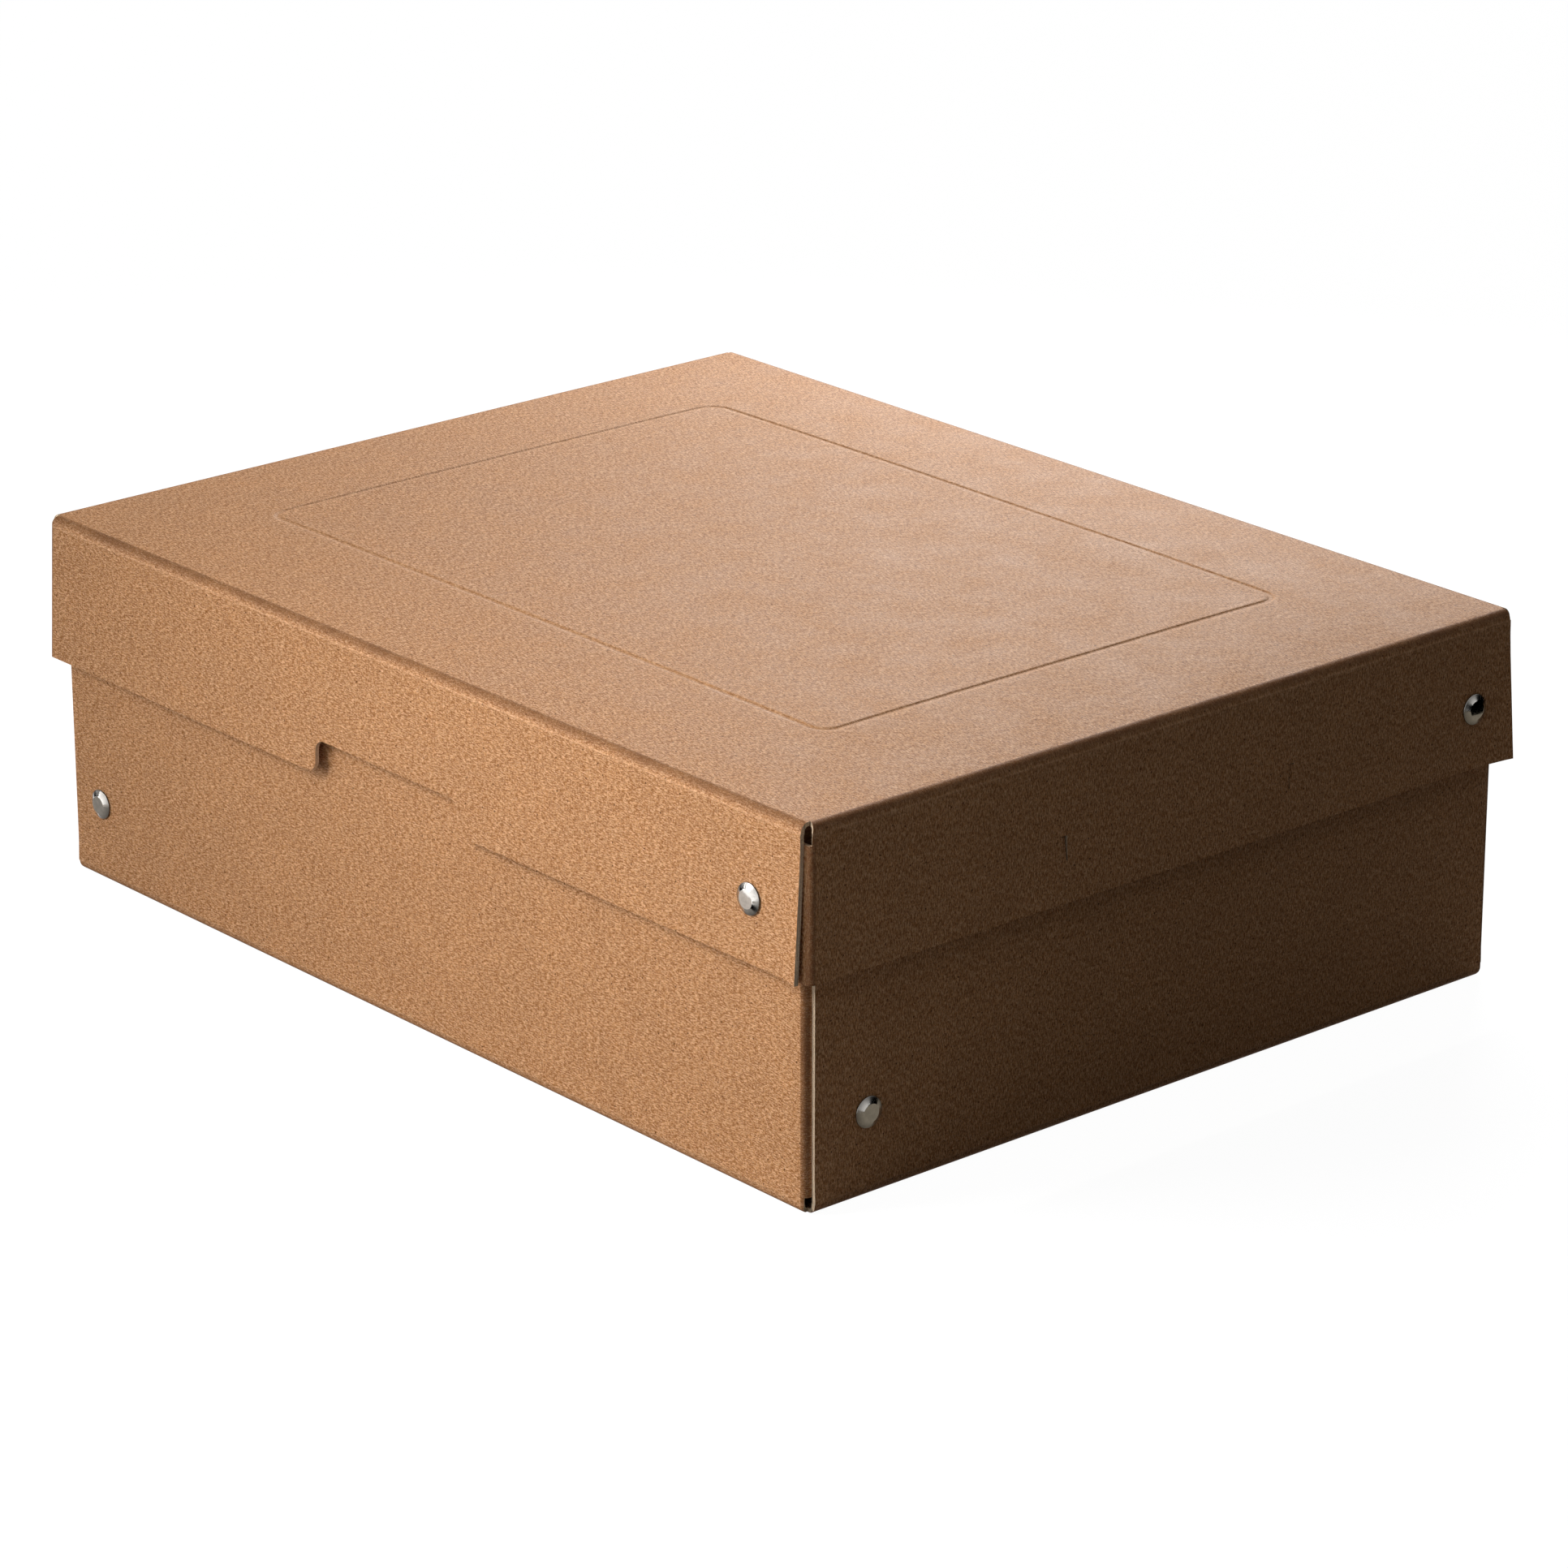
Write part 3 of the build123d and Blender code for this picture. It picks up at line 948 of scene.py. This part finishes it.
def metal_group(name):
    """Wiping marks and fine scratches of plated metal, and painted shade, with more roughness, at the foot of a
    pressed rim.
    """
    nodes, given, end = group_tree(
        name,
        {"Color": "Color", "Roughness": "Float"},
        {"Color": "Color", "Roughness": "Float", "Height": "Float"},
    )
    place = object_place(nodes)
    smudge = nodes.noise(place, 0.7, 3.0, dimensions="3D")
    drawn_out = nodes.placed(place, Rotation=(0.4, 0.7, 0.5), Scale=(0.5, 14, 0.5))
    scratch = nodes.noise(drawn_out, 1.0, 4.0, dimensions="3D")
    tinted = nodes.shaded(given["Color"], nodes.between(smudge, 0.3, 0.75, 0.88, 1.04))
    foot = nodes.mark(RIM_SHADE)
    smudged = nodes.between(smudge, 0.35, 0.8, 0.0, 0.04)
    extra = nodes.plus(smudged, nodes.between(scratch, 0.5, 0.8, 0.0, 0.03))
    extra = nodes.plus(extra, nodes.times(foot, 0.3))
    # The rim's foot is painted dark: painted shade
    nodes.put(end, "Color", nodes.mix(foot, tinted, RIM_SHADE_COLOUR))
    nodes.put(end, "Roughness", nodes.plus(given["Roughness"], extra))
    nodes.put(end, "Height", scratch)
    return nodes.tree


def object_place(nodes):
    """The place on the object, in millimetres."""
    return nodes.placed(nodes.add("ShaderNodeTexCoord").outputs["Object"], Scale=(1 / MM,) * 3)


def blank_place(nodes):
    """The board's place in its flat blank, in millimetres."""
    return nodes.placed(nodes.add("ShaderNodeUVMap", uv_map=BLANK_MAP).outputs[0], Scale=(1 / MM,) * 3)


def liner_material(name, board):
    """Kraft liner: the board's inside and outside faces."""
    material, nodes = new_material(name)
    fibres = nodes.group("Paper fibres", fibre_group, {
        "Place": blank_place(nodes), "Face": rgba(board.face), "Pale": rgba(board.pale_fibre),
        "Dark": rgba(board.dark_fibre), "Speck": 1.0,
    })
    # Folds and bends darkened with painted shade, and a paler line below the folds with a painted highlight
    wear_and_painted_light = nodes.group("Fold wear", wear_and_painted_light_group, {
        "Color": fibres["Color"], "Grain": fibres["Mask"], "Amount": 0.3, "Worn": rgba(board.pale_fibre),
        "Pressed": rgba(board.pressed),
    })
    rough = nodes.between(fibres["Mask"], 0.4, 1.1, board.roughness - 0.08, board.roughness + 0.08)
    nodes.surface(fibres["Height"], strength=0.2, depth=0.05 * MM, inputs={
        "Base Color": wear_and_painted_light["Color"], "Roughness": rough, "Specular IOR Level": board.sheen,
    })
    return material


def core_material(name, board):
    """The pulp between the liners, where the board is cut."""
    material, nodes = new_material(name)
    place = object_place(nodes)
    fibres = nodes.group("Paper fibres", fibre_group, {
        "Place": place, "Face": rgba(board.core), "Pale": rgba(board.core, 1.25),
        "Dark": rgba(board.core, 0.5), "Speck": 0.0,
    })
    pulp = nodes.noise(place, 3.2, 3.0, dimensions="3D")
    # Darker in the pulp's hollows: painted shade where the bump dips
    hollow_shade = nodes.between(pulp, 0.52, 0.3, 0.0, 0.5)
    nodes.surface(nodes.plus(fibres["Height"], pulp), strength=0.7, depth=0.1 * MM, inputs={
        "Base Color": nodes.mix(hollow_shade, fibres["Color"], rgba(board.dark_fibre, 1.3)),
        "Roughness": nodes.between(pulp, 0.3, 0.7, 0.78, 0.95), "Specular IOR Level": board.sheen,
    })
    return material


def metal_material(name, metal, roughness):
    """Plated or bare metal with wiping marks."""
    material, nodes = new_material(name)
    marks = nodes.group("Metal marks", metal_group, {"Color": rgba(metal), "Roughness": roughness})
    nodes.surface(marks["Height"], strength=0.15, depth=0.02 * MM, inputs={
        "Base Color": marks["Color"], "Roughness": marks["Roughness"], "Metallic": 1.0,
    })
    return material


def board_materials(board):
    """The liner and the core, shared by both trays."""
    liner = bpy.data.materials.get("Kraft liner") or liner_material("Kraft liner", board)
    core = bpy.data.materials.get("Board core") or core_material("Board core", board)
    return liner, core


# Rivets

def rivet_seat(node, span):
    """Where a cap lies on its wall: the middle of its inner face and its direction, from its CAD node."""
    low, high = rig.box(node)
    centre = (low + high) / 2
    tray_low, tray_high = (base_low, base_high) if node.startswith("base") else (lid_low, lid_high)
    splay = 0 if node.startswith("base") else bpy.context.scene.document_box.lid.splay
    gaps = [min(centre[axis] - tray_low[axis], tray_high[axis] - centre[axis]) for axis in (0, 1)]
    side = gaps.index(min(gaps))
    out = Vector((0, 0, sin(splay)))
    out[side] = cos(splay) * (1 if centre[side] > 0 else -1)
    return centre - out * span / 2, out


def spun_disc(profile, seat, out, sides, rim_shade_height):
    """A round piece: its profile, from the middle of its top to the middle of its underside, spun.

    Below the shade height, the metal takes painted shade and more roughness, fully below half that height.
    """
    disc = bmesh.new()
    verts = [disc.verts.new((radius, 0, height)) for radius, height in profile]
    edges = [disc.edges.new(pair) for pair in zip(verts, verts[1:])]
    bmesh.ops.spin(
        disc, geom=verts + edges, cent=(0, 0, 0), axis=(0, 0, 1), angle=2 * pi, steps=sides, use_merge=True
    )
    bmesh.ops.remove_doubles(disc, verts=disc.verts, dist=SAME_PLACE)
    bmesh.ops.recalc_face_normals(disc, faces=disc.faces)
    foot = disc.verts.layers.float.new(RIM_SHADE)
    for vert in disc.verts:
        vert[foot] = smooth(2 * (1 - vert.co.z / rim_shade_height))
    disc.transform(Matrix.Translation(seat) @ out.to_track_quat("Z", "Y").to_matrix().to_4x4())
    return disc


def rivet_nodes(kind):
    """The names of the rivets' CAD nodes of one kind."""
    return sorted(name for name in frame["nodes"] if f"_rivet_{kind}_" in name)


def press_discs(rivets, kind, profile, span, facing, rim_shade_height, softness, steps):
    """Makes the pressed discs of one kind. A facing of 1 is out of the box and -1 is into it."""
    nickel = bpy.data.materials.get("Nickel plate")
    nickel = nickel or metal_material("Nickel plate", rivets.nickel, rivets.nickel_roughness)
    for node in rivet_nodes(kind):
        seat, out = rivet_seat(node, facing * span)
        disc = spun_disc(profile, seat, facing * out, rivets.sides, rim_shade_height)
        piece = make_object(disc, node.replace("rivet", "pressed"), nickel)
        piece.data.shade_smooth()
        soften(piece, softness, steps, radians(20))
        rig.ride(piece, node.split("_")[0])
        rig.replaces(piece, node)
        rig.slot(piece, "rivet_" + kind)


# Stage

# How bright the backdrop and the floor are in reflections
GLOSSY_WORLD = 0.6
GLOSSY_FLOOR = 0.75

# The floor: its size, how far it lies below the box, and its light and grey as the camera sees it. PLAIN_GREY
# is the grey that other light meets.
FLOOR_SIZE = (8, 8)
FLOOR_DROP = 0.2 * MM
FLOOR_LIGHT = 0.97
LIT_GREY = 0.12
PLAIN_GREY = 0.30

# Name, power setting, place, target, width and height, and spread in degrees
SOFTBOXES = (
    ("Key softbox", "key", (-2.285, -1.918, 0.40), (0, 0, 0.05), (1.4, 0.66), 180),
    ("Front softbox", "front", (-0.10, -0.52, 0.395), (0.34, -0.13, 0.02), (0.24, 0.24), 115),
    ("Edge softbox", "edge", (0.25, -0.60, 0.14), (0.168, 0, 0.08), (0.10, 0.20), 180),
    ("Back softbox", "back", (-0.42, 0.56, 0.42), (-0.11, 0.12, 0.11), (0.4, 0.3), 90),
)

# Name, place, width and height, bearing (none lies flat) and grey
SHADES = (
    ("Standing shade", (0.75, 0.05, 0.45), (1.4, 0.9), pi / 2, 0.01),
    ("Lying shade", (0.62, 0.15, 0.001), (0.85, 1.5), None, 0.27),
)

# Name, place, width and height, bearing (none lies flat) and light
MIRRORED_CARDS = (
    ("Bright panel", (-0.275, -1.05, 0.375), (1.45, 0.75), 0, (1.7, 1.7, 1.7)),
    ("Bright sheet", (0.125, -0.62, 0.001), (0.75, 0.58), None, (1.7, 1.7, 1.7)),
    ("Pale sheet", (-0.13, -0.27, 0.001), (0.44, 0.112), None, (0.71, 0.65, 0.60)),
    ("Black sheet", (0.125, -0.25, 0.0012), (0.06, 0.10), None, (0, 0, 0)),
    ("Dark sheet", (-0.48, -0.19, 0.0012), (0.26, 0.22), None, (0, 0, 0)),
    ("Grey strip", (0.02, -0.172, 0.0005), (0.55, 0.085), None, (0.32, 0.30, 0.275)),
    ("Grey sheet", (0.44, 0.20, 0.0015), (0.55, 1.4), None, (0.22, 0.195, 0.155)),
    ("Dark screen left", (-0.60, -0.20, 0.17), (0.70, 0.34), pi / 2, (0, 0, 0)),
    ("Dark screen right", (0.323, 0.285, 0.09), (0.70, 0.18), radians(-42.4), (0, 0, 0)),
)


def seen_share(nodes, glossy):
    """One for what the camera sees, also through glass, and a share for reflections."""
    path = nodes.add("ShaderNodeLightPath").outputs
    seen = nodes.math("MAXIMUM", path["Is Camera Ray"], path["Is Transmission Ray"])
    return nodes.math("MAXIMUM", seen, nodes.times(path["Is Glossy Ray"], glossy))


def grey_paper(nodes, grey):
    """A plain diffuse shader."""
    return nodes.add("ShaderNodeBsdfDiffuse", {"Color": (grey, grey, grey, 1)}).outputs[0]


def add_sheet(name, size, matrix, material):
    """A flat rectangle that belongs to the stage."""
    sheet = bmesh.new()
    bmesh.ops.create_grid(sheet, x_segments=1, y_segments=1, size=0.5)
    bmesh.ops.scale(sheet, vec=(*size, 1), verts=sheet.verts)
    sheet.transform(matrix)
    made = make_object(sheet, name, material)
    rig.stage(made)
    return made


def add_card(name, place, size, bearing, grey=None, glow=None):
    """A card that casts no shadow: a grey one dims soft light, a glowing one shows in reflections."""
    material, nodes = new_material(name)
    if glow is None:
        paint = grey_paper(nodes, grey)
    else:
        paint = nodes.add("ShaderNodeEmission", {"Color": rgba(glow)}).outputs[0]
    nodes.add("ShaderNodeOutputMaterial", {"Surface": paint})
    turn = Matrix.Identity(4)
    if bearing is not None:
        turn = Matrix.Rotation(bearing, 4, "Z") @ Matrix.Rotation(pi / 2, 4, "X")
    card = add_sheet(name, size, Matrix.Translation(place) @ turn, material)
    card.visible_camera = False
    card.visible_transmission = False
    card.visible_shadow = False
    card.visible_glossy = glow is not None
    card.visible_diffuse = glow is None


# Operators

class DOCUMENT_BOX_OT_stage(bpy.types.Operator):
    """Set up the camera, the backdrop, the lamps, the floor and the cards round the box"""

    bl_idname = "document_box.stage"
    bl_label = "Stage"

    def execute(self, context):
        settings = context.scene.document_box.stage
        self.add_camera(context, settings)
        self.add_world(context, settings)
        for name, power, place, target, size, spread in SOFTBOXES:
            self.add_softbox(name, getattr(settings, power), place, target, size, spread)
        self.add_floor(settings)
        for name, place, size, bearing, grey in SHADES:
            add_card(name, place, size, bearing, grey=grey)
        for name, place, size, bearing, glow in MIRRORED_CARDS:
            add_card(name, place, size, bearing, glow=glow)
        context.scene.view_settings.view_transform = "Standard"
        return {"FINISHED"}

    def add_camera(self, context, settings):
        """Add the camera that sees the box as the photo does"""
        camera = bpy.data.cameras.new("Camera")
        camera.lens = settings.lens
        turned = link_object("Camera", camera)
        turned.location = settings.camera_place
        turned.rotation_euler = (pi / 2 - settings.elevation, 0, settings.azimuth)
        context.scene.camera = turned

    def add_world(self, context, settings):
        """Add a white backdrop that gives only a little light"""
        world = bpy.data.worlds.new("Studio")
        context.scene.world = world
        nodes = emptied(world)
        extra = nodes.times(seen_share(nodes, GLOSSY_WORLD), settings.paper - settings.ambient)
        strength = nodes.plus(extra, settings.ambient)
        light = nodes.add("ShaderNodeBackground", {"Color": (1, 1, 1, 1), "Strength": strength})
        nodes.add("ShaderNodeOutputWorld", {"Surface": light.outputs[0]})

    def add_softbox(self, name, power, place, target, size, spread):
        """Add a softbox whose light is held together within an angle, in degrees"""
        lamp = bpy.data.lights.new(name, "AREA")
        lamp.spread = radians(spread)
        lamp.shape = "RECTANGLE"
        lamp.size, lamp.size_y = size
        lamp.energy = power
        turned = link_object(name, lamp)
        turned.location = place
        turned.rotation_euler = (Vector(target) - Vector(place)).to_track_quat("-Z", "Y").to_euler()

    def add_floor(self, settings):
        """Add white paper that still takes the shadow of the box"""
        material, nodes = new_material("White paper")
        glow = nodes.add("ShaderNodeEmission", {"Strength": FLOOR_LIGHT * settings.paper})
        lit = nodes.add("ShaderNodeAddShader", {0: glow.outputs[0], 1: grey_paper(nodes, LIT_GREY)})
        share = seen_share(nodes, GLOSSY_FLOOR)
        shaders = {0: share, 1: grey_paper(nodes, PLAIN_GREY), 2: lit.outputs[0]}
        mixed = nodes.add("ShaderNodeMixShader", shaders)
        nodes.add("ShaderNodeOutputMaterial", {"Surface": mixed.outputs[0]})
        add_sheet("Floor", FLOOR_SIZE, Matrix.Translation((0, 0, -FLOOR_DROP)), material)


class DOCUMENT_BOX_OT_base_tray(bpy.types.Operator):
    """Fold the base tray from its blank"""

    bl_idname = "document_box.base_tray"
    bl_label = "Base tray"

    def execute(self, context):
        settings = context.scene.document_box
        blank = FoldedBlank(base_high - base_low, settings.base, settings.board)
        sheet = flat_sheet(blank, {})
        cut_grid(sheet, blank)
        cut_rivet_holes(sheet, blank)
        fold_up(sheet, blank)
        finish_tray(sheet, "base", settings.board)
        return {"FINISHED"}


class DOCUMENT_BOX_OT_lid_tray(bpy.types.Operator):
    """Fold the lid tray from its blank and turn it over onto the base"""

    bl_idname = "document_box.lid_tray"
    bl_label = "Lid tray"

    def execute(self, context):
        settings = context.scene.document_box
        lid = settings.lid
        size = lid_high - lid_low
        spread = 2 * size.z * sin(lid.splay) / cos(lid.splay)
        blank = FoldedBlank((size.x - spread, size.y - spread, size.z), lid, settings.board)
        sheet = flat_sheet(blank, dict.fromkeys(NOTCH_WALLS, lid))
        cut_grid(sheet, blank)
        cut_crease_lines(sheet, lid)
        cut_rivet_holes(sheet, blank)
        for side in (-1, 1):
            cut_slit(sheet, blank, SLIT_WALL, lid, side)
        fold_up(sheet, blank, lid)
        sheet.transform(Matrix.Translation((0, 0, lid_high.z)) @ Matrix.Rotation(pi, 4, "X"))
        finish_tray(sheet, "lid", settings.board)
        return {"FINISHED"}


class DOCUMENT_BOX_OT_rivet_caps(bpy.types.Operator):
    """Press the outside caps of the eight rivets"""

    bl_idname = "document_box.rivet_caps"
    bl_label = "Rivet caps"

    def execute(self, context):
        rivets = context.scene.document_box.rivets
        flat, rim, top = rivets.cap_flat / 2, rivets.cap_diameter / 2, rivets.cap_height
        profile = (
            (0, top), (0.6 * flat, top - 0.25 * rivets.cap_dome), (flat, top - rivets.cap_dome),
            (rim, rivets.cap_rim), (rim, 0.5 * rivets.cap_rim), (rim - rivets.cap_tuck, 0), (0, 0),
        )
        press_discs(
            rivets, "cap", profile, span=top, facing=1, rim_shade_height=1.4 * rivets.cap_rim,
            softness=rivets.softness, steps=4,
        )
        return {"FINISHED"}


class DOCUMENT_BOX_OT_rivet_backings(bpy.types.Operator):
    """Press the inside caps of the eight rivets"""

    bl_idname = "document_box.rivet_backings"
    bl_label = "Rivet backings"

    def execute(self, context):
        rivets = context.scene.document_box.rivets
        rim, dimple = rivets.backing_diameter / 2, rivets.backing_dimple / 2
        thick = rivets.backing_thickness
        profile = (
            (0, 0.55 * thick), (0.6 * dimple, 0.55 * thick), (dimple, thick), (0.72 * rim, thick),
            (rim, 0.45 * thick), (rim, 0), (0, 0),
        )
        press_discs(
            rivets, "backing", profile, span=thick, facing=-1, rim_shade_height=0.7 * thick,
            softness=rivets.softness / 2, steps=3,
        )
        return {"FINISHED"}


class DOCUMENT_BOX_OT_rivet_posts(bpy.types.Operator):
    """Give the rivets' hollow posts their bare steel"""

    bl_idname = "document_box.rivet_posts"
    bl_label = "Rivet posts"

    def execute(self, context):
        rivets = context.scene.document_box.rivets
        steel = metal_material("Drawn steel", rivets.steel, rivets.steel_roughness)
        for node in rivet_nodes("post"):
            mesh = frame["nodes"][node].data
            mesh.materials.clear()
            mesh.materials.append(steel)
        return {"FINISHED"}


class DOCUMENT_BOX_PT_sidebar(bpy.types.Panel):
    """Lists the box's pieces and sizes"""

    bl_label = "Document Box"
    bl_space_type = "VIEW_3D"
    bl_region_type = "UI"
    bl_category = "Document Box"

    def draw(self, context):
        settings = context.scene.document_box
        for operator, group in (
            (DOCUMENT_BOX_OT_stage, settings.stage),
            (DOCUMENT_BOX_OT_base_tray, settings.base),
            (DOCUMENT_BOX_OT_lid_tray, settings.lid),
            (DOCUMENT_BOX_OT_rivet_caps, settings.rivets),
            (DOCUMENT_BOX_OT_rivet_backings, None),
            (DOCUMENT_BOX_OT_rivet_posts, settings.board),
        ):
            box = self.layout.box()
            box.operator(operator.bl_idname)
            for name in group.bl_rna.properties.keys() if group else ():
                if name not in ("name", "rna_type"):
                    box.prop(group, name)


CLASSES = (
    BoardSettings, BaseSettings, LidSettings, RivetSettings, StageSettings, DocumentBoxSettings,
    DOCUMENT_BOX_OT_stage, DOCUMENT_BOX_OT_base_tray, DOCUMENT_BOX_OT_lid_tray, DOCUMENT_BOX_OT_rivet_caps,
    DOCUMENT_BOX_OT_rivet_backings, DOCUMENT_BOX_OT_rivet_posts, DOCUMENT_BOX_PT_sidebar,
)


def register():
    for made in CLASSES:
        bpy.utils.register_class(made)
    bpy.types.Scene.document_box = PointerProperty(type=DocumentBoxSettings)


def unregister():
    del bpy.types.Scene.document_box
    for made in reversed(CLASSES):
        bpy.utils.unregister_class(made)


def main():
    register()
    bpy.ops.document_box.stage()
    bpy.ops.document_box.base_tray()
    bpy.ops.document_box.lid_tray()
    bpy.ops.document_box.rivet_caps()
    bpy.ops.document_box.rivet_backings()
    bpy.ops.document_box.rivet_posts()
    boxes = {"cad": [list(corner) for corner in cad_box], "visual": [list(corner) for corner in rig.bounds()]}
    with open(SIZE_FILE, "w") as file:
        json.dump(boxes, file)


if __name__ == "__main__":
    main()
